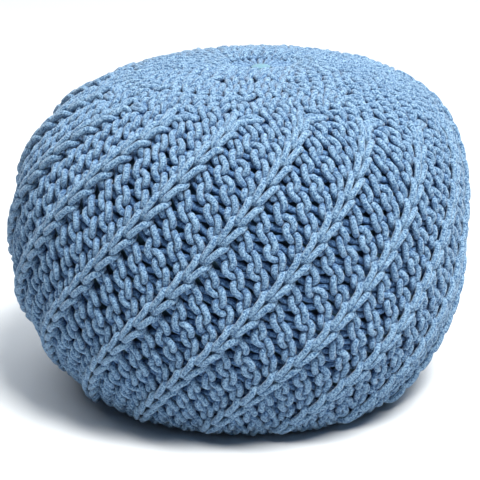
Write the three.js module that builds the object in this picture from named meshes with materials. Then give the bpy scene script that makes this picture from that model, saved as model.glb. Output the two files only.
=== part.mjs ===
// A round floor pouf knitted from thick cotton cord, filled tight, all in millimetres with +Z up.
// Sixteen raised ribs of plain knit run slantwise down the sides from the crown to the foot.
// At the top the last round of loops is drawn together, and a small disc of the inner casing
// shows in the gather. Theta 0 faces -Y, and theta grows towards +X.
import * as THREE from 'three';
import { mergeVertices } from 'three/addons/utils/BufferGeometryUtils.js';

// Driving sizes of the filled body, measured to the face of the ground between the ribs.
const bellyRadius = 244.5;
const crownRise = 208;
const footDrop = 149;
const crownFullness = 2.85;
const footFullness = 1.84;
const footCurveDepth = 226;
const footFlatRadius = 158;
const footCornerRise = 24;

// The filling has slumped to one side, so the crown and the foot stand off the belly's axis.
const crownLean = 25;
const footLean = 17;

// The soft unevenness of a filled cover: a few lobes round the belly, each a share of the depth.
const lumpDepth = 1.6;
const lumpWaves = [
  { lobes: 3, share: 1.0, phase: 0.6 },
  { lobes: 5, share: 0.7, phase: -1.1 },
];

// The raised ribs, each one column of plain knit stitches.
const ribCount = 16;
const ribHeight = 6;
const ribHeadArc = 165;
const ribHeadLength = 26;
const ribTailArc = 530;
const ribTailLength = 22;
const ribPhase = THREE.MathUtils.degToRad(-10);
const ribPhaseArc = 325;

// The slant of the ribs: radians of turn for each millimetre of arc, at the shoulder and its growth.
const shoulderArc = 212;
const shoulderTurn = 0.00266;
const turnGrowth = 0.000008;
const steadyTurnArc = 400;

// The gather at the crown, with the disc of casing that shows in it.
const gatherRadius = 45;
const gatherDip = 7;
const wellRadius = 10.5;
const wellDepth = 6;
const discRadius = 10.2;
const discEdge = 2.5;
const discCrown = 2.6;
const discShoulder = 0.6;
const seatGap = 0.3;

// How finely the faces are divided, and how the rows crowd towards the belly.
const wellRows = 2;
const crownRows = 19;
const crownRowEase = 1.15;
const sideRows = 15;
const sideRowEase = 0.9;
const cornerRows = 4;
const discSides = 28;
const discRows = 6;
const weldDistance = 0.001;

// Across one rib and the ground beside it: the share of the pitch, and the share of the rib's height.
const ribSection = [
  { across: 0.00, raised: 1.00 },
  { across: 0.075, raised: 0.74 },
  { across: 0.13, raised: 0.00 },
  { across: 0.38, raised: -0.12 },
  { across: 0.62, raised: -0.12 },
  { across: 0.87, raised: 0.00 },
  { across: 0.925, raised: 0.74 },
];

const smooth = (value, from, to) => THREE.MathUtils.smoothstep(value, from, to);

// One quarter of a superellipse, from its widest point (turn 0) to its pole (turn a right angle).
function quarterPoint(turn, rise, fullness) {
  const reach = bellyRadius * Math.cos(turn) ** (2 / fullness);
  return new THREE.Vector2(reach, rise * Math.sin(turn) ** (2 / fullness));
}

// The height of the crown's face, drawn down towards the gather.
function dipped(point) {
  const dip = gatherDip * (1 - smooth(point.x, 0, gatherRadius));
  return new THREE.Vector2(point.x, point.y - dip);
}

// Where the lower curve has come down to the top of the foot's rounded corner.
function footCornerTurn() {
  const share = (footDrop - footCornerRise) / footCurveDepth;
  return Math.asin(share ** (footFullness / 2));
}

// The outline of the body from the floor of the well, over the crown and the belly, to the foot.
function bodyOutline() {
  const points = [];
  const wellTurn = Math.acos((wellRadius / bellyRadius) ** (crownFullness / 2));
  const rim = dipped(quarterPoint(wellTurn, crownRise, crownFullness));
  points.push(new THREE.Vector2(0, rim.y - wellDepth));
  points.push(new THREE.Vector2(wellRadius, rim.y - wellDepth));
  for (let row = 0; row <= crownRows; row += 1) {
    const share = (1 - row / crownRows) ** crownRowEase;
    points.push(dipped(quarterPoint(wellTurn * share, crownRise, crownFullness)));
  }
  const cornerTurn = footCornerTurn();
  for (let row = 1; row <= sideRows; row += 1) {
    const share = (row / sideRows) ** sideRowEase;
    const point = quarterPoint(cornerTurn * share, footCurveDepth, footFullness);
    points.push(new THREE.Vector2(point.x, -point.y));
  }
  const start = points[points.length - 1];
  const before = points[points.length - 2];
  const fall = (start.x - before.x) / (start.y - before.y);
  const bend = new THREE.Vector2(start.x - fall * (start.y + footDrop), -footDrop);
  const end = new THREE.Vector2(footFlatRadius, -footDrop);
  const corner = new THREE.QuadraticBezierCurve(start, bend, end);
  points.push(...corner.getPoints(cornerRows).slice(1));
  points.push(new THREE.Vector2(0, -footDrop));
  return points;
}

// The length along the outline from the pole to each of its points.
function arcLengths(points) {
  const lengths = [0];
  for (let i = 1; i < points.length; i += 1) {
    lengths.push(lengths[i - 1] + points[i].distanceTo(points[i - 1]));
  }
  return lengths;
}

// The turn of a rib's path at a length along the outline, against its place at the phase arc.
function ribTurn(arc) {
  const path = (at) => {
    const steady = Math.min(at, steadyTurnArc);
    const grown = 0.5 * turnGrowth * (steady - shoulderArc) ** 2;
    const beyond = turnGrowth * (steadyTurnArc - shoulderArc) * (at - steady);
    return shoulderTurn * at + grown + beyond;
  };
  return path(ribPhaseArc) - path(THREE.MathUtils.clamp(arc, ribHeadArc, ribTailArc));
}

// How far the ribs stand up at a length along the outline: they fade in at the head and out at the foot.
function ribRise(arc) {
  const head = smooth(arc, ribHeadArc - ribHeadLength / 2, ribHeadArc + ribHeadLength / 2);
  const tail = 1 - smooth(arc, ribTailArc - ribTailLength, ribTailArc);
  return ribHeight * head * tail;
}

// The sideways slump of the body at a height measured from the belly.
function slump(height) {
  if (height > 0) {
    return crownLean * (height / crownRise) ** 2;
  }
  return footLean * (height / footCurveDepth) ** 2;
}

// How far the lumps push the face out, most at the belly and none at the pole.
function lumps(theta, height) {
  const belly = Math.cos((height / crownRise) * (Math.PI / 2)) ** 2;
  const wave = ({ lobes, share, phase }) => share * Math.sin(lobes * theta + phase);
  return lumpDepth * belly * lumpWaves.reduce((sum, lump) => sum + wave(lump), 0);
}

// The filled cover: a turned body whose columns follow the ribs and whose points are raised along them.
function knittedCover() {
  const outline = bodyOutline();
  const arcs = arcLengths(outline);
  const columns = ribCount * ribSection.length;
  const geometry = new THREE.LatheGeometry([...outline].reverse(), columns);
  const position = geometry.getAttribute('position');
  const pitch = (2 * Math.PI) / ribCount;
  const rim = outline[wellRows].y;
  for (let column = 0; column <= columns; column += 1) {
    const section = ribSection[column % ribSection.length];
    const rib = Math.floor(column / ribSection.length);
    for (let row = 0; row < outline.length; row += 1) {
      const point = outline[row];
      const theta = ribPhase + pitch * (rib + section.across) + ribTurn(arcs[row]);
      const before = outline[Math.max(row - 1, 0)];
      const after = outline[Math.min(row + 1, outline.length - 1)];
      const outward = new THREE.Vector2(before.y - after.y, after.x - before.x).normalize();
      const raised = section.raised * ribRise(arcs[row]);
      const swell = point.x > footFlatRadius ? lumps(theta, point.y) : 0;
      const reach = point.x + outward.x * (raised + swell);
      const height = point.y + outward.y * (raised + swell);
      const x = reach * Math.sin(theta) + slump(row < wellRows ? rim : point.y);
      const y = -reach * Math.cos(theta);
      const place = (column + 1) * outline.length - 1 - row;
      position.setXYZ(place, x, y, height + footDrop);
    }
  }
  return closed(geometry);
}

// The domed disc of casing that shows in the gather, standing in the well with a small gap all round.
function casingDisc() {
  const outline = bodyOutline();
  const floor = outline[1].y + footDrop + seatGap;
  const dome = new THREE.QuadraticBezierCurve(
    new THREE.Vector2(discRadius, floor + discEdge),
    new THREE.Vector2(discRadius * discShoulder, floor + discEdge + discCrown),
    new THREE.Vector2(0, floor + discEdge + discCrown),
  );
  const base = [new THREE.Vector2(0, floor), new THREE.Vector2(discRadius, floor)];
  const profile = [...base, ...dome.getPoints(discRows)];
  const geometry = new THREE.LatheGeometry(profile, discSides);
  geometry.rotateX(Math.PI / 2);
  geometry.translate(slump(outline[wellRows].y), 0, 0);
  return closed(geometry);
}

// The seam and the poles of a turned shape are welded, so that it is one closed body.
function closed(geometry) {
  geometry.deleteAttribute('normal');
  geometry.deleteAttribute('uv');
  const welded = mergeVertices(geometry, weldDistance);
  welded.computeVertexNormals();
  return welded;
}

const cordCotton = new THREE.MeshStandardMaterial({ color: 0x7fa3c7, roughness: 0.92, metalness: 0 });
const casingCotton = new THREE.MeshStandardMaterial({ color: 0x8fb9c9, roughness: 0.85, metalness: 0 });

const cover = new THREE.Mesh(knittedCover(), cordCotton);
cover.name = 'knitted_cover';
const disc = new THREE.Mesh(casingDisc(), casingCotton);
disc.name = 'casing_disc';

// The pouf stands centred over the origin on its flat foot.
const pouf = new THREE.Group();
pouf.add(cover, disc);
const extent = new THREE.Box3().setFromObject(pouf);
const middle = extent.getCenter(new THREE.Vector3());
cover.position.set(-middle.x, -middle.y, 0);
disc.position.copy(cover.position);

export default pouf;
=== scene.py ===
import math

import bpy
import numpy as np
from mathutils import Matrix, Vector


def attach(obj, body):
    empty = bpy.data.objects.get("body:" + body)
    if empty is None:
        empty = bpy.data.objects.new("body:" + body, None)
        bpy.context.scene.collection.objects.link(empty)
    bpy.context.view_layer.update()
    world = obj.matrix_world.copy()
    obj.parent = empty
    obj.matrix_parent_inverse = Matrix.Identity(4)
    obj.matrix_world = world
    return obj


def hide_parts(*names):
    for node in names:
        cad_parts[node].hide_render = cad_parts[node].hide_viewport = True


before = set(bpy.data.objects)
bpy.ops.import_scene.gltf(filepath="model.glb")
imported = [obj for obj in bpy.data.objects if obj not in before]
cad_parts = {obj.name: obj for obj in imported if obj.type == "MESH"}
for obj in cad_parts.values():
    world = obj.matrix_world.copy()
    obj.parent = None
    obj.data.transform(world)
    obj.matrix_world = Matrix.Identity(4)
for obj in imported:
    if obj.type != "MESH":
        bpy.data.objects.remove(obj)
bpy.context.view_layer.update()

# The camera stands in front of the pouf, a little above it, at a distance of seven belly radii,
# and looks down on it by about 18 degrees, as the photograph does.
view_down = math.radians(17.86)
view_distance = 1.75
view_target = Vector((0.0009, -0.0002, 0.149))
camera_data = bpy.data.cameras.new("camera")
camera_data.sensor_width = 36.0
camera_data.lens = 120.33
camera_data.shift_x = 1.4 / 480
camera_data.shift_y = 6.1 / 480
camera = bpy.data.objects.new("camera", camera_data)
bpy.context.collection.objects.link(camera)
towards_camera = Vector((0.0, -math.cos(view_down), math.sin(view_down)))
camera.location = view_target + towards_camera * view_distance
camera.rotation_euler = (math.pi / 2 - view_down, 0.0, 0.0)
bpy.context.scene.camera = camera

# A plain pale floor and far wall under soft studio light: a wide panel overhead, a faint surround,
# and a lamp high on the right in front.
bpy.ops.mesh.primitive_plane_add(size=8.0, location=(0.0, 0.0, 0.0))
floor = bpy.context.object
floor.name = "floor"
floor_paint = bpy.data.materials.new("white_floor")
floor_paint.use_nodes = True
floor_shader = floor_paint.node_tree.nodes["Principled BSDF"]
floor_shader.inputs["Base Color"].default_value = (0.71, 0.755, 0.80, 1.0)
floor_shader.inputs["Roughness"].default_value = 0.9
floor.data.materials.append(floor_paint)

surround = bpy.data.worlds.new("surround")
surround.use_nodes = True
surround_light = surround.node_tree.nodes["Background"]
surround_light.inputs["Color"].default_value = (0.75, 0.87, 1.0, 1.0)
surround_light.inputs["Strength"].default_value = 0.07
far_wall = surround.node_tree.nodes.new("ShaderNodeBackground")
far_wall.inputs["Color"].default_value = (0.95, 0.955, 0.96, 1.0)
seen_or_lit = surround.node_tree.nodes.new("ShaderNodeMixShader")
ray = surround.node_tree.nodes.new("ShaderNodeLightPath")
surround.node_tree.links.new(ray.outputs["Is Camera Ray"], seen_or_lit.inputs["Fac"])
surround.node_tree.links.new(surround_light.outputs["Background"], seen_or_lit.inputs[1])
surround.node_tree.links.new(far_wall.outputs["Background"], seen_or_lit.inputs[2])
surround.node_tree.links.new(seen_or_lit.outputs["Shader"],
                             surround.node_tree.nodes["World Output"].inputs["Surface"])
bpy.context.scene.world = surround
bpy.context.scene.view_settings.view_transform = "Standard"


def add_lamp(name, place, strength, size, colour):
    lamp_data = bpy.data.lights.new(name, "AREA")
    lamp_data.energy = strength
    lamp_data.color = colour
    lamp_data.size = size
    lamp = bpy.data.objects.new(name, lamp_data)
    lamp.location = place
    aim = Vector((0.0, 0.2, 0.2)) - Vector(place)
    lamp.rotation_euler = aim.to_track_quat("-Z", "Y").to_euler()
    bpy.context.collection.objects.link(lamp)


add_lamp("panel_overhead", (0.0, 1.5, 4.0), 380.0, 9.0, (1.0, 1.0, 1.0))
add_lamp("lamp_right", (0.8, -1.2, 2.8), 190.0, 1.2, (1.0, 0.955, 0.89))


# The inner casing is a round cushion of plain blue-grey cotton, sewn shut and packed tight with
# light filling. The knitted cover is stretched over it, and it shows only through the stitches.
# Sizes are in mm, and the outline is the face of the plain stitches, which the casing lies under.
belly_radius = 244.5
crown_rise = 208.0
foot_drop = 149.0
crown_fullness = 2.85
foot_fullness = 1.84
foot_curve_depth = 226.0
foot_flat_radius = 158.0
foot_corner_rise = 24.0
gather_radius = 75.0
gather_dip = 7.0
crown_lean = 25.0
foot_lean = 17.0
lump_depth = 1.6
cad_shift = np.array([0.9, -0.16, 0.0])
casing_depth = 12.6
casing_swell = 3.5
middle_push = 7.0
middle_radius = 16.0
cloth_grid = 0.009
cloth_moments = 20


def body_outline():
    # Points down the side of the body, from the middle of the crown to the middle of the foot, in mm:
    # arc length, radius and height over the belly, and the outward direction there.
    turn = np.linspace(math.pi / 2, 0.0, 900)
    radius = [belly_radius * np.cos(turn) ** (2 / crown_fullness)]
    height = [crown_rise * np.sin(turn) ** (2 / crown_fullness)]
    low = math.asin(((foot_drop - foot_corner_rise) / foot_curve_depth) ** (foot_fullness / 2))
    turn = np.linspace(0.0, low, 700)[1:]
    radius.append(belly_radius * np.cos(turn) ** (2 / foot_fullness))
    height.append(-foot_curve_depth * np.sin(turn) ** (2 / foot_fullness))
    end_r, end_z = radius[-1][-1], height[-1][-1]
    fall = (end_r - radius[-1][-2]) / (end_z - height[-1][-2])
    bend_r = end_r - fall * (end_z + foot_drop)
    t = np.linspace(0.0, 1.0, 120)[1:]
    radius.append((1 - t) ** 2 * end_r + 2 * t * (1 - t) * bend_r + t * t * foot_flat_radius)
    height.append((1 - t) ** 2 * end_z - 2 * t * (1 - t) * foot_drop - t * t * foot_drop)
    foot_steps = 200
    radius.append(np.linspace(foot_flat_radius, 0.0, foot_steps)[1:])
    height.append(np.full(foot_steps - 1, -foot_drop))
    radius = np.concatenate(radius)
    height = np.concatenate(height)
    radius[0] = 0.0
    dip = np.clip(radius / gather_radius, 0, 1)
    height = height - (height > 0) * gather_dip * (1 - dip * dip * (3 - 2 * dip))
    arc = np.concatenate([[0], np.cumsum(np.hypot(np.diff(radius), np.diff(height)))])
    even = np.linspace(0.0, arc[-1], 1500)
    radius = np.interp(even, arc, radius)
    height = np.interp(even, arc, height)
    out_r = np.convolve(np.pad(-np.gradient(height, even), 4, "edge"), np.ones(9) / 9, "valid")
    out_z = np.convolve(np.pad(np.gradient(radius, even), 4, "edge"), np.ones(9) / 9, "valid")
    out_r[[0, -1]] = 0.0
    size = np.hypot(out_r, out_z)
    return even, radius, height, out_r / size, out_z / size


outline_arc, outline_radius, outline_height, outline_out_r, outline_out_z = body_outline()


def body_surface(theta, arc):
    # Places on the body and their outward directions, in mm. Theta 0 faces the camera and grows to +X.
    r = np.interp(arc, outline_arc, outline_radius)
    z = np.interp(arc, outline_arc, outline_height)
    out_r = np.interp(arc, outline_arc, outline_out_r)
    out_z = np.interp(arc, outline_arc, outline_out_z)
    lean = np.where(z > 0, crown_lean * (z / crown_rise) ** 2, foot_lean * (z / foot_curve_depth) ** 2)
    place = np.stack([r * np.sin(theta) + lean, -r * np.cos(theta), z + foot_drop], -1)
    out = np.stack([out_r * np.sin(theta), -out_r * np.cos(theta), out_z], -1)
    waves = np.sin(3 * theta + 0.6) + 0.7 * np.sin(5 * theta - 1.1)
    swell = lump_depth * np.cos(z / crown_rise * math.pi / 2) ** 2 * waves * (z > 1 - foot_drop)
    return place + out * swell[..., None] + cad_shift, out


bpy.ops.object.select_all(action="DESELECT")
bpy.ops.mesh.primitive_uv_sphere_add(segments=128, ring_count=96, radius=1.0)
casing = bpy.context.object
casing.name = "casing_cushion"
ball = np.array([point.co for point in casing.data.vertices])
casing_arc = np.arccos(np.clip(ball[:, 2], -1.0, 1.0)) / math.pi * outline_arc[-1]
casing_place, casing_out = body_surface(np.arctan2(ball[:, 0], -ball[:, 1]), casing_arc)
# The filling pushes up a little in the middle of the crown, under the disc.
depth = casing_depth + casing_swell - middle_push * np.clip(1.0 - casing_arc / middle_radius, 0.0, 1.0)
casing_place = (casing_place - casing_out * depth[:, None]) * 0.001
casing.data.vertices.foreach_set("co", casing_place.ravel())
even_cloth = casing.modifiers.new("even_cloth", "REMESH")
even_cloth.mode = "VOXEL"
even_cloth.voxel_size = cloth_grid
bpy.ops.object.modifier_apply(modifier="even_cloth")
before = np.array([point.co for point in casing.data.vertices])
filling = casing.modifiers.new("filling", "CLOTH")
filling.settings.use_pressure = True
filling.settings.uniform_pressure_force = 4.0
filling.settings.effector_weights.gravity = 0.0
for moment in range(1, cloth_moments + 1):
    bpy.context.scene.frame_set(moment)
bpy.ops.object.modifier_apply(modifier="filling")
bpy.context.scene.frame_set(1)
move = np.array([point.co for point in casing.data.vertices]) - before
far = np.linalg.norm(move, axis=1, keepdims=True)
move *= np.minimum(1.0, casing_swell * 0.001 / np.maximum(far, 1e-9))
casing.data.vertices.foreach_set("co", (before + move).ravel())
smoother = casing.modifiers.new("smoother", "SUBSURF")
smoother.levels = 1
smoother.render_levels = 1
bpy.ops.object.modifier_apply(modifier="smoother")
bpy.ops.object.shade_smooth()

casing_cloth = bpy.data.materials.new("casing_cloth")
casing_cloth.use_nodes = True
nodes = casing_cloth.node_tree.nodes
links = casing_cloth.node_tree.links
casing_shader = nodes["Principled BSDF"]
casing_shader.inputs["Roughness"].default_value = 0.85
casing_shader.inputs["Sheen Weight"].default_value = 0.15
casing_place_node = nodes.new("ShaderNodeTexCoord")
threads = nodes.new("ShaderNodeTexNoise")
threads.inputs["Scale"].default_value = 900.0
threads.inputs["Detail"].default_value = 3.0
casing_colours = nodes.new("ShaderNodeValToRGB")
casing_colours.color_ramp.elements[0].position = 0.3
casing_colours.color_ramp.elements[0].color = (0.07, 0.17, 0.245, 1.0)
casing_colours.color_ramp.elements[1].position = 0.7
casing_colours.color_ramp.elements[1].color = (0.13, 0.275, 0.35, 1.0)
casing_bump = nodes.new("ShaderNodeBump")
casing_bump.inputs["Strength"].default_value = 0.3
casing_bump.inputs["Distance"].default_value = 0.0005
links.new(casing_place_node.outputs["Object"], threads.inputs["Vector"])
links.new(threads.outputs["Fac"], casing_colours.inputs["Fac"])
links.new(casing_colours.outputs["Color"], casing_shader.inputs["Base Color"])
links.new(threads.outputs["Fac"], casing_bump.inputs["Height"])
links.new(casing_bump.outputs["Normal"], casing_shader.inputs["Normal"])
casing.data.materials.append(casing_cloth)
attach(casing, "root")


# The cover is knitted by hand from cotton cord about 7 mm thick, turned on its side with the purl
# side out. Sixty-four courses run steeply down from the crown, and in each of them one stitch in
# four is a knit stitch that crosses over its neighbour, which raises sixteen slanting ribs.
courses = 64
cord_size = 6.8
cord_half_depth = 3.2
rib_lift = 4.2
# These ribs start one or two stitches lower than the others.
late_ribs = {1: 1, 2: 2, 3: 2}
# The levels of the stitches, as arc lengths down from the middle of the crown.
level_line = [44.0, 66.0, 88.0, 109.0, 129.0, 148.0, 167.0]
gap_places = [167, 250, 290, 325, 440, 475]
gap_sizes = [19.2, 19.0, 18.4, 17.5, 17.5, 18.5]
lowest_side_line = 545.0
foot_ring = 66.0
while level_line[-1] < lowest_side_line:
    gap = np.interp(level_line[-1], gap_places, gap_sizes)
    level_line.append(level_line[-1] + gap)
last_rib_level = len(level_line) - 1
side_end = level_line[-1]
for step in range(1, 8):
    level_line.append(side_end + (outline_arc[-1] - foot_ring - side_end) * step / 5)
top_level = 0
first_rib_level = 6
low_level = len(level_line) - 2
# Some courses turn back before the crown and the foot, so fewer are left at the levels nearest them.
level_courses = [courses] * len(level_line)
level_courses[:5] = [24, 32, 32, 48, 48]
level_courses[-6:] = [48, 48, 32, 32, 24, 24]


# The slant of the ribs: radians of turn for each mm of arc at the shoulder, how it grows from there
# down to the arc where it turns steady, and where one rib stands.
shoulder_arc = 212
shoulder_turn = 0.00266
turn_growth = 0.000008
steady_arc = 400.0
rib_phase = math.radians(-10)
rib_phase_arc = 325.0
rib_head_arc = 165.0
rib_tail_arc = 560.0


def rib_turn(arc):
    # How far a rib has turned round the body at an arc length, against its place at the phase arc.
    def path(at):
        steady = np.minimum(at, steady_arc)
        bent = turn_growth / 2 * (steady - shoulder_arc) ** 2
        return shoulder_turn * at + bent + turn_growth * (steady_arc - shoulder_arc) * (at - steady)
    return path(rib_phase_arc) - path(np.clip(arc, rib_head_arc, rib_tail_arc))


# How far the courses have turned at each level. Near the crown and the foot they run straight in.
straightening = (0.0, 0.6, 1.0, 1.25, 1.4, 1.5, 1.5, 1.5)
course_turn = []
for level in range(len(level_line)):
    inner = min(max(level, first_rib_level), last_rib_level)
    fade = straightening[abs(level - inner)] * (1 if level > inner else -1)
    course_turn.append(float(rib_turn(level_line[inner])) + (inner + fade) * 2 * math.pi / courses)


def is_there(level, course):
    # Whether a course reaches a level, or has turned back before it.
    count = level_courses[level]
    if count == 24 and course % 16 > 9:
        return False
    return count == 64 or (course % 8 < 6 if count == 48 else course % 4 < 2)


def stitch_angle(level, course):
    # The stitches that are there share out the whole round between them.
    count = level_courses[level]
    rank = {64: course, 48: course // 8 * 6 + course % 8, 32: course // 4 * 2 + course % 4,
            24: course // 16 * 6 + course % 16 // 4 * 2 + course % 4}[count]
    return rib_phase + course_turn[level] + (rank + 0.5 - count / 128) / count * 2 * math.pi


def below_rib_top(level, course):
    # How many stitches down its rib a stitch lies.
    return level - first_rib_level - late_ribs.get((course + level) // 4 % 16, 0)


def has_rib(level, course):
    return (course + level) % 4 == 0 and below_rib_top(level, course) >= 0 and level < last_rib_level


rib_stitch_width = 0.74
slant_beside_rib = 0.25


def stitch_frame(level, course):
    # The foot of a stitch: angle, arc length and radius, the way along its course to the next stitch
    # down and the direction in which the loop points. Directions are in mm to the right and down.
    line = level_line[level]
    radius = float(np.interp(line, outline_arc, outline_radius))
    theta = stitch_angle(level, course)
    upper = max(level - 1, top_level if is_there(level - 1, course) else level)
    lower = min(level + 1, low_level if is_there(level + 1, course) else level)
    turn = (stitch_angle(lower, course) - stitch_angle(upper, course)) * radius
    way = np.array([turn, level_line[lower] - level_line[upper]]) / (lower - upper)
    if has_rib(level, course) and has_rib(level - 1, course + 1):
        rise = level_line[level + 1] - level_line[level - 1]
        turned = rib_turn(level_line[level - 1]) - rib_turn(level_line[level + 1])
        loop = np.array([turned * radius, -rise])
        loop = loop / np.linalg.norm(loop)
        across = np.array([-loop[1], loop[0]]) * np.linalg.norm(way) * rib_stitch_width
    else:
        beside = has_rib(level, course + 1) or has_rib(level, course - 1)
        loop = np.array([1.0, slant_beside_rib if beside else 0.0])
        across = way
    return theta, line, radius, across, loop


def stitch_above(level, course):
    # The stitch of the next course to the right that a stitch is drawn up to. A rib stitch moves up
    # one place, and the ground stitch above it passes down behind it.
    if has_rib(level, course) and has_rib(level - 1, course + 1):
        return level - 1, course + 1
    if has_rib(level, course + 1) and has_rib(level + 1, course):
        return level + 1, course + 1
    after = course + 1
    while not is_there(level, after):
        after += 1
    return level, after


# Half a stitch, from the loop to its neighbour up to the top of its head: across as a share of the
# way to the next stitch, along the loop in mm, and depth as a share of half the cover's thickness.
# The first four points belong to the foot of the stitch, the last four to its head.
loop_across = [0.5, 0.32, 0.17, 0.185, 0.33, 0.38, 0.25, 0.0]
loop_along = [-4.6, -3.3, 1.0, 5.6, -6.0, -1.0, 3.4, 4.8]
purl_out = [1.0, 0.8, -0.4, -1.0, -1.0, -0.3, 0.8, 1.0]
rib_out = [-1.0, -1.3, 0.1, 1.4, 1.5, 0.9, -0.9, -1.3]
# The settling holds each stretch of this many steps, about a stitch long, near its own place.
path_points = 28
full_loop_gap = 20.0
shortest_loop = 0.55
last_loop_width = 0.6
last_loop_depth = 0.6
rib_foot_lift = 0.3
rib_rise_stitches = 3
dip_under_rib = 2.4


def course_path(course):
    # The cord's path down one course, from the crown to the foot: angle, arc length and height over
    # the cover's mid surface, and whether it belongs to a rib.
    points = []
    for level in range(top_level, low_level + 1):
        if not is_there(level, course):
            continue
        rib = has_rib(level, course)
        foot = stitch_frame(level, course)
        head_level, head_course = stitch_above(level, course)
        head_rib = has_rib(head_level, head_course)
        head = stitch_frame(head_level, head_course)
        halves = []
        for side in (-1, 1):
            half = []
            for point in range(8):
                theta, line, radius, across, loop = foot if point < 4 else head
                # Where the courses crowd together, the loops are shorter.
                crowded = min(1.0, (head[0] - foot[0]) * radius / full_loop_gap)
                width = side * loop_across[point]
                if rib and not head_rib and 0 < point < 7:
                    width *= last_loop_width
                x, y = across * width + loop * loop_along[point] * max(crowded, shortest_loop)
                out = rib_out[point] if rib else purl_out[point]
                if head_rib != rib and point > 5:
                    out = -out
                lift = rib_lift if (head_rib if point > 5 else rib) else 0.0
                if point == 0:
                    lift *= rib_foot_lift
                # A rib starts low, pressed in among the stitches above it.
                lift *= min(1.0, below_rib_top(level, course) / rib_rise_stitches) if rib else 1.0
                if rib and not head_rib:
                    out *= last_loop_depth
                height = out * cord_half_depth + lift
                half.append(np.array([theta + x / radius, line + y, height, float(rib)]))
            middle = (half[3] + half[4]) / 2 - [0, 0, dip_under_rib * (head_level > level), 0]
            halves.append(half[:4] + [middle] + half[4:])
        upper, lower = halves
        if points:
            upper[0] = (upper[0] + points.pop()) / 2
        points += upper + lower[-2::-1]
    return points


def drawn_in(course, level, centre):
    # The cord's run from a course's last stitch in to the middle of the crown or the foot.
    start = level_line[level]
    line = start + (centre - start) * np.array([0.22, 0.42, 0.62, 0.82, 1.0])
    height = np.array([1.0, 1.2, 1.6, 2.0, 2.2])
    return [np.array([stitch_angle(level, course), line[i], height[i], 0.0]) for i in range(len(line))]


curve_steps = 6


def smooth_path(points):
    # A closed curve through the points, with even steps from one to the next.
    before = np.roll(points, 1, 0)
    after = np.roll(points, -1, 0)
    further = np.roll(points, -2, 0)
    t = np.arange(curve_steps)[:, None, None] / curve_steps
    curve = 0.5 * (2 * points + (after - before) * t
                   + (2 * before - 5 * points + 4 * after - further) * t ** 2
                   + (3 * points - before - 3 * after + further) * t ** 3)
    return curve.transpose(1, 0, 2).reshape(len(points) * curve_steps, -1)


def even_steps(places, values, step_size):
    # Values along a closed line at even steps, and the size of a step.
    ends = np.concatenate([places, places[:1]])
    run = np.concatenate([[0], np.cumsum(np.linalg.norm(np.diff(ends, axis=0), axis=1))])
    steps = int(round(run[-1] / step_size))
    at = np.arange(steps) * run[-1] / steps
    values = np.concatenate([values, values[:1]])
    return np.stack([np.interp(at, run, part) for part in values.T], -1), run[-1] / steps


# Two courses at a time are laid as one closed cord. Where both reach the crown and the foot, their
# ends are drawn in to the middle.
settle_spacing = 3.4
turn_back_tuck = -0.4
cord_rows = []
crown_centre = 12.5
foot_centre = outline_arc[-1] - 13.5
for course in range(0, courses, 2):
    down, back = course_path(course), course_path(course + 1)
    if is_there(top_level, course):
        down += drawn_in(course, low_level, foot_centre)
        back += drawn_in(course + 1, low_level, foot_centre)
        down = drawn_in(course, top_level, crown_centre)[::-1] + down
        back = drawn_in(course + 1, top_level, crown_centre)[::-1] + back
    else:
        # Where a course turns back, the turn is tucked in under the stitches round it.
        for point in (down[0], down[-1], back[0], back[-1]):
            point[2] = turn_back_tuck * cord_half_depth
    curve = smooth_path(np.array(down + back[::-1]))
    place, out = body_surface(curve[:, 0], curve[:, 1])
    place = place + out * (curve[:, 2] - cord_size / 2 - cord_half_depth)[:, None]
    cord_rows.append(even_steps(place, np.concatenate([place, curve], 1), settle_spacing))
rows = len(cord_rows)

# The courses then settle into each other: bends are eased, every stretch is pulled back towards its
# own length, cords that meet push apart, and the whole is held on the casing near its own place.
# Cords that press on each other still overlap after it, by up to half their thickness and most at
# the ribs, and the cord ends up about a tenth longer than it was laid.
settle_steps = 110
uneven_pull = 0.025
slack = 1.01
bend_ease = 0.10
length_pull = 0.42
push_apart = 0.32
height_pull = 0.06
place_pull = 0.12
look_again = 12
look_within = 8.6
clearance = 1.03
sink_into_casing = 0.5
cord_values = np.concatenate([row[0] for row in cord_rows])
cord_point = cord_values[:, :3].copy()
cord_level = cord_values[:, 5] - cord_size / 2 - cord_half_depth
row_size = np.array([len(row[0]) for row in cord_rows])
row_start = np.concatenate([[0], np.cumsum(row_size)])
cord_row = np.repeat(np.arange(rows), row_size)
cord_order = np.arange(len(cord_point)) - row_start[cord_row]
cord_next = row_start[cord_row] + (cord_order + 1) % row_size[cord_row]
cord_before = np.empty_like(cord_next)
cord_before[cord_next] = np.arange(len(cord_point))
cord_stitch = np.arange(len(cord_point)) // path_points
stitches = cord_stitch[-1] + 1
stitch_size = np.bincount(cord_stitch)[:, None]
pull = 1.0 + uneven_pull * np.clip(np.random.default_rng(7).standard_normal(stitches), -2, 2)
cord_rest = np.array([row[1] for row in cord_rows])[cord_row] * pull[cord_stitch] * slack
surface_place, surface_out = body_surface(cord_values[:, 3], cord_values[:, 4])
cord_home = cord_point.copy()
cord_rib = np.clip(cord_values[:, 6:7], 0, 1)
# The ends drawn together in the middle of the crown and the foot are squeezed thinner.
squeezed_within = 30.0
thinnest = 0.46
centre_gap = np.minimum(cord_values[:, 4], outline_arc[-1] - cord_values[:, 4])
cord_radius = cord_size / 2 * np.clip(centre_gap / squeezed_within, thinnest, 1.0)


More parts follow.
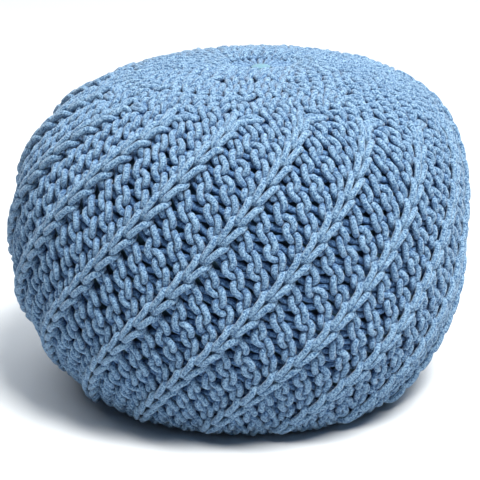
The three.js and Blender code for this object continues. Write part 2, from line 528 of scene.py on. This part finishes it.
def close_pairs(points, reach):
    # Pairs of cord points nearer than reach, leaving out neighbours along the same row.
    cell = np.floor(points / reach).astype(np.int64)
    cell -= cell.min(0) - 1
    span = cell.max(0) + 2
    key = (cell[:, 0] * span[1] + cell[:, 1]) * span[2] + cell[:, 2]
    by_key = np.argsort(key, kind="stable")
    sorted_key = key[by_key]
    found = []
    for x in (0, 1):
        for y in (-1, 0, 1):
            for z in (-1, 0, 1):
                if (x, y, z) < (0, 0, 0):
                    continue
                wanted = key + (x * span[1] + y) * span[2] + z
                first = np.searchsorted(sorted_key, wanted, "left")
                count = np.searchsorted(sorted_key, wanted, "right") - first
                one = np.repeat(np.arange(len(points)), count)
                start = np.repeat(first - np.concatenate([[0], np.cumsum(count)[:-1]]), count)
                other = by_key[np.arange(len(one)) + start]
                keep = ((points[one] - points[other]) ** 2).sum(1) < reach * reach
                if (x, y, z) == (0, 0, 0):
                    keep &= one < other
                one, other = one[keep], other[keep]
                along = np.abs(cord_order[one] - cord_order[other])
                along = np.minimum(along, row_size[cord_row[one]] - along)
                keep = (cord_row[one] != cord_row[other]) | (along > 3)
                found.append(np.stack([one[keep], other[keep]]))
    return np.concatenate(found, 1)


def per_stitch(values):
    # The middle of every stretch that is held near its place.
    sums = [np.bincount(cord_stitch, values[:, axis], stitches) for axis in range(3)]
    return np.stack(sums, -1) / stitch_size


stitch_home = per_stitch(cord_point)
# The ribs are drawn tight and give most, and the gathered ends are sewn down.
rib_hold = 0.09
sewn_hold = 0.5
sewn_within = 38.0
rib_give = 0.24
held = rib_hold * cord_rib + sewn_hold * (centre_gap < sewn_within)[:, None]
soft_radius = cord_radius * (1.0 - rib_give * cord_rib[:, 0])
for step in range(settle_steps):
    if step % look_again == 0:
        one, other = close_pairs(cord_point, look_within)
        reach = (soft_radius[one] + soft_radius[other]) * clearance
    cord_point += bend_ease * ((cord_point[cord_before] + cord_point[cord_next]) / 2 - cord_point)
    for again in range(2):
        stretch = cord_point[cord_next] - cord_point
        length = np.linalg.norm(stretch, axis=1)
        move = stretch * (length_pull * (length - cord_rest) / length)[:, None]
        cord_point += move
        cord_point -= move[cord_before]
    apart = cord_point[other] - cord_point[one]
    distance = np.sqrt((apart ** 2).sum(1)) + 1e-6
    meet = distance < reach
    move = apart[meet] * (push_apart * (reach[meet] - distance[meet]) / distance[meet])[:, None]
    for axis in range(3):
        cord_point[:, axis] += np.bincount(other[meet], move[:, axis], len(cord_point))
        cord_point[:, axis] -= np.bincount(one[meet], move[:, axis], len(cord_point))
    level = ((cord_point - surface_place) * surface_out).sum(1)
    lowest = -casing_depth + cord_size / 2 - sink_into_casing
    move = np.where(level < lowest, lowest - level, height_pull * (cord_level - level))
    cord_point += surface_out * move[:, None]
    cord_point += (place_pull * (stitch_home - per_stitch(cord_point)))[cord_stitch]
    cord_point += held * (cord_home - cord_point)
cord_point[:, 2] = np.maximum(cord_point[:, 2], cord_radius)
cord_height = ((cord_point - surface_place) * surface_out).sum(1)


tube_sides = 8
tube_spacing = 3.7
shaded_depth = 10.0


def add_cord_rows(name, chosen):
    # Closed tubes along the settled rows, with the cord's length in mm and its turn as UVs.
    all_points, all_faces, all_uv, all_heights = [], [], [], []
    start = 0
    for row in chosen:
        line = cord_point[row_start[row]:row_start[row + 1]]
        radius = cord_radius[row_start[row]:row_start[row + 1]]
        fine = smooth_path(line)
        height = cord_height[row_start[row]:row_start[row + 1]]
        outward = surface_out[row_start[row]:row_start[row + 1]]
        extra = np.repeat(np.concatenate([radius[:, None], height[:, None], outward], 1), curve_steps, 0)
        values, length = even_steps(fine, np.concatenate([fine, extra], 1), tube_spacing)
        place, thick = values[:, :3], values[:, 3]
        steps = len(place)
        along = np.roll(place, -1, 0) - np.roll(place, 1, 0)
        along /= np.linalg.norm(along, axis=1, keepdims=True)
        # The tube's sides are carried along without twist, and what is left over is shared out.
        side = np.cross(along[0], [0.0, 0.0, 1.0])
        side /= np.linalg.norm(side)
        sides = np.empty_like(place)
        for i in range(steps):
            side = side - along[i] * (side @ along[i])
            side = side / math.sqrt(side @ side)
            sides[i] = side
        last_side = side - along[0] * (side @ along[0])
        left_over = math.atan2(np.cross(last_side, sides[0]) @ along[0], last_side @ sides[0])
        upright = np.cross(along, sides)
        untwist = (left_over * np.arange(steps) / steps)[:, None]
        turn = np.arange(tube_sides)[None] * 2 * math.pi / tube_sides + untwist
        ring = place[:, None] + thick[:, None, None] * (np.cos(turn)[..., None] * sides[:, None]
                                                        + np.sin(turn)[..., None] * upright[:, None])
        i, k = np.meshgrid(np.arange(steps), np.arange(tube_sides), indexing="ij")
        i_next, k_next = (i + 1) % steps, (k + 1) % tube_sides
        face = np.stack([i * tube_sides + k, i_next * tube_sides + k, i_next * tube_sides + k_next,
                         i * tube_sides + k_next], -1).reshape(-1, 4)
        uv = np.stack([np.stack([i, k], -1), np.stack([i + 1, k], -1), np.stack([i + 1, k + 1], -1),
                       np.stack([i, k + 1], -1)], 2).reshape(-1, 4, 2).astype(float)
        uv[..., 0] *= length
        uv[..., 1] /= tube_sides
        all_points.append(ring.reshape(-1, 3))
        # How high every point lies, from 0 at the shaded depth to 1 at the face of the plain stitches,
        # which sets how much painted shade the cord's colour gets.
        height = values[:, 4:5] + ((ring - place[:, None]) * values[:, None, 5:]).sum(2)
        all_heights.append(np.clip((height.ravel() + shaded_depth) / shaded_depth, 0.0, 1.0))
        all_faces.append(face + start)
        all_uv.append(uv)
        start += len(all_points[-1])
    # No cord reaches below the floor.
    points = np.concatenate(all_points) * 0.001
    points[:, 2] = np.maximum(points[:, 2], 0.0)
    faces = np.concatenate(all_faces)
    data = bpy.data.meshes.new(name)
    data.vertices.add(len(points))
    data.vertices.foreach_set("co", points.ravel())
    data.loops.add(faces.size)
    data.loops.foreach_set("vertex_index", faces.ravel())
    data.polygons.add(len(faces))
    data.polygons.foreach_set("loop_start", np.arange(len(faces)) * 4)
    data.update(calc_edges=True)
    layer = data.uv_layers.new(name="cord_run")
    layer.data.foreach_set("uv", np.concatenate(all_uv).ravel())
    shade = data.attributes.new("cord_height", "FLOAT", "POINT")
    shade.data.foreach_set("value", np.concatenate(all_heights))
    data.validate()
    data.shade_smooth()
    piece = bpy.data.objects.new(name, data)
    bpy.context.collection.objects.link(piece)
    return piece


# The cord is soft cotton, braided from fine strands, dyed a mid blue. The braid's two sets of strands
# wind round it against each other, and loose fibres catch the light on top.
strands_each_way = 7
strand_lay = 3.0
strand_wander = 9.0
cord_paint = bpy.data.materials.new("cord_cotton")
cord_paint.use_nodes = True
nodes = cord_paint.node_tree.nodes
links = cord_paint.node_tree.links
cord_shader = nodes["Principled BSDF"]
cord_shader.inputs["Roughness"].default_value = 0.8
cord_shader.inputs["Specular IOR Level"].default_value = 0.25
cord_shader.inputs["Sheen Weight"].default_value = 0.22
cord_shader.inputs["Sheen Roughness"].default_value = 0.5
cord_shader.inputs["Sheen Tint"].default_value = (0.85, 0.93, 1.0, 1.0)
cord_run = nodes.new("ShaderNodeUVMap")
cord_run.uv_map = "cord_run"
cord_axes = nodes.new("ShaderNodeSeparateXYZ")
links.new(cord_run.outputs["UV"], cord_axes.inputs["Vector"])
# The braid is pulled unevenly, so its marks wander a little along the cord.
cord_place = nodes.new("ShaderNodeTexCoord")
unevenness = nodes.new("ShaderNodeTexNoise")
unevenness.inputs["Scale"].default_value = 160.0
links.new(cord_place.outputs["Object"], unevenness.inputs["Vector"])
strand_waves = []
for way in (strands_each_way, -strands_each_way):
    wander = nodes.new("ShaderNodeMath")
    wander.operation = "MULTIPLY_ADD"
    wander.inputs[1].default_value = strand_wander
    links.new(unevenness.outputs["Fac"], wander.inputs[0])
    along_cord = nodes.new("ShaderNodeMath")
    along_cord.operation = "MULTIPLY"
    along_cord.inputs[1].default_value = 2 * math.pi / strand_lay
    round_cord = nodes.new("ShaderNodeMath")
    round_cord.operation = "MULTIPLY_ADD"
    round_cord.inputs[1].default_value = 2 * math.pi * way
    strand_wave = nodes.new("ShaderNodeMath")
    strand_wave.operation = "SINE"
    links.new(cord_axes.outputs["X"], along_cord.inputs[0])
    links.new(cord_axes.outputs["Y"], round_cord.inputs[0])
    links.new(along_cord.outputs["Value"], wander.inputs[2])
    links.new(wander.outputs["Value"], round_cord.inputs[2])
    links.new(round_cord.outputs["Value"], strand_wave.inputs[0])
    strand_waves.append(strand_wave)
braid = nodes.new("ShaderNodeMath")
braid.operation = "MULTIPLY"
links.new(strand_waves[0].outputs["Value"], braid.inputs[0])
links.new(strand_waves[1].outputs["Value"], braid.inputs[1])
flecks = nodes.new("ShaderNodeTexNoise")
flecks.inputs["Scale"].default_value = 560.0
flecks.inputs["Detail"].default_value = 2.0
flecks.inputs["Roughness"].default_value = 0.6
links.new(cord_place.outputs["Object"], flecks.inputs["Vector"])
cord_marks = nodes.new("ShaderNodeMath")
cord_marks.operation = "MULTIPLY_ADD"
cord_marks.inputs[1].default_value = 0.075
links.new(braid.outputs["Value"], cord_marks.inputs[0])
links.new(flecks.outputs["Fac"], cord_marks.inputs[2])
cord_colours = nodes.new("ShaderNodeValToRGB")
cord_colours.color_ramp.elements[0].position = 0.37
cord_colours.color_ramp.elements[0].color = (0.010, 0.058, 0.155, 1.0)
cord_colours.color_ramp.elements[1].position = 0.64
cord_colours.color_ramp.elements[1].color = (0.205, 0.355, 0.53, 1.0)
links.new(cord_marks.outputs["Value"], cord_colours.inputs["Fac"])
# Painted shade: cord that lies deep in the knit is painted darker and bluer, and the tops of the strands
# are painted lighter and greyer as a painted highlight.
cord_height_node = nodes.new("ShaderNodeAttribute")
cord_height_node.attribute_name = "cord_height"
painted_shade_colours = nodes.new("ShaderNodeValToRGB")
painted_shade_colours.color_ramp.elements[0].color = (0.30, 0.50, 0.74, 1.0)
painted_shade_colours.color_ramp.elements[1].color = (1.12, 1.05, 1.0, 1.0)
shaded = nodes.new("ShaderNodeVectorMath")
shaded.operation = "MULTIPLY"
links.new(cord_height_node.outputs["Fac"], painted_shade_colours.inputs["Fac"])
links.new(cord_colours.outputs["Color"], shaded.inputs[0])
links.new(painted_shade_colours.outputs["Color"], shaded.inputs[1])
links.new(shaded.outputs["Vector"], cord_shader.inputs["Base Color"])
cord_bump = nodes.new("ShaderNodeBump")
cord_bump.inputs["Strength"].default_value = 0.8
cord_bump.inputs["Distance"].default_value = 0.0008
links.new(cord_marks.outputs["Value"], cord_bump.inputs["Height"])
links.new(cord_bump.outputs["Normal"], cord_shader.inputs["Normal"])

# The cover is made as eight groups of neighbouring courses, one after another round the pouf. Their
# names are about a quarter turn off: left_knit lies in front, and front_knit on the left.
cover_sides = ("back", "back_right", "right", "front_right", "front", "front_left", "left", "back_left")
rows_a_side = rows // len(cover_sides)
for number, name in enumerate(cover_sides):
    knit = add_cord_rows(name + "_knit", range(number * rows_a_side, (number + 1) * rows_a_side))
    knit.data.materials.append(cord_paint)
    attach(knit, "root")
    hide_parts("knitted_cover")


# The small disc in the middle of the crown's gather is the inner casing showing through, of the
# same cotton. It keeps its CAD solid and gets the casing's cloth.
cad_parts["casing_disc"].data.materials.clear()
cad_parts["casing_disc"].data.materials.append(casing_cloth)
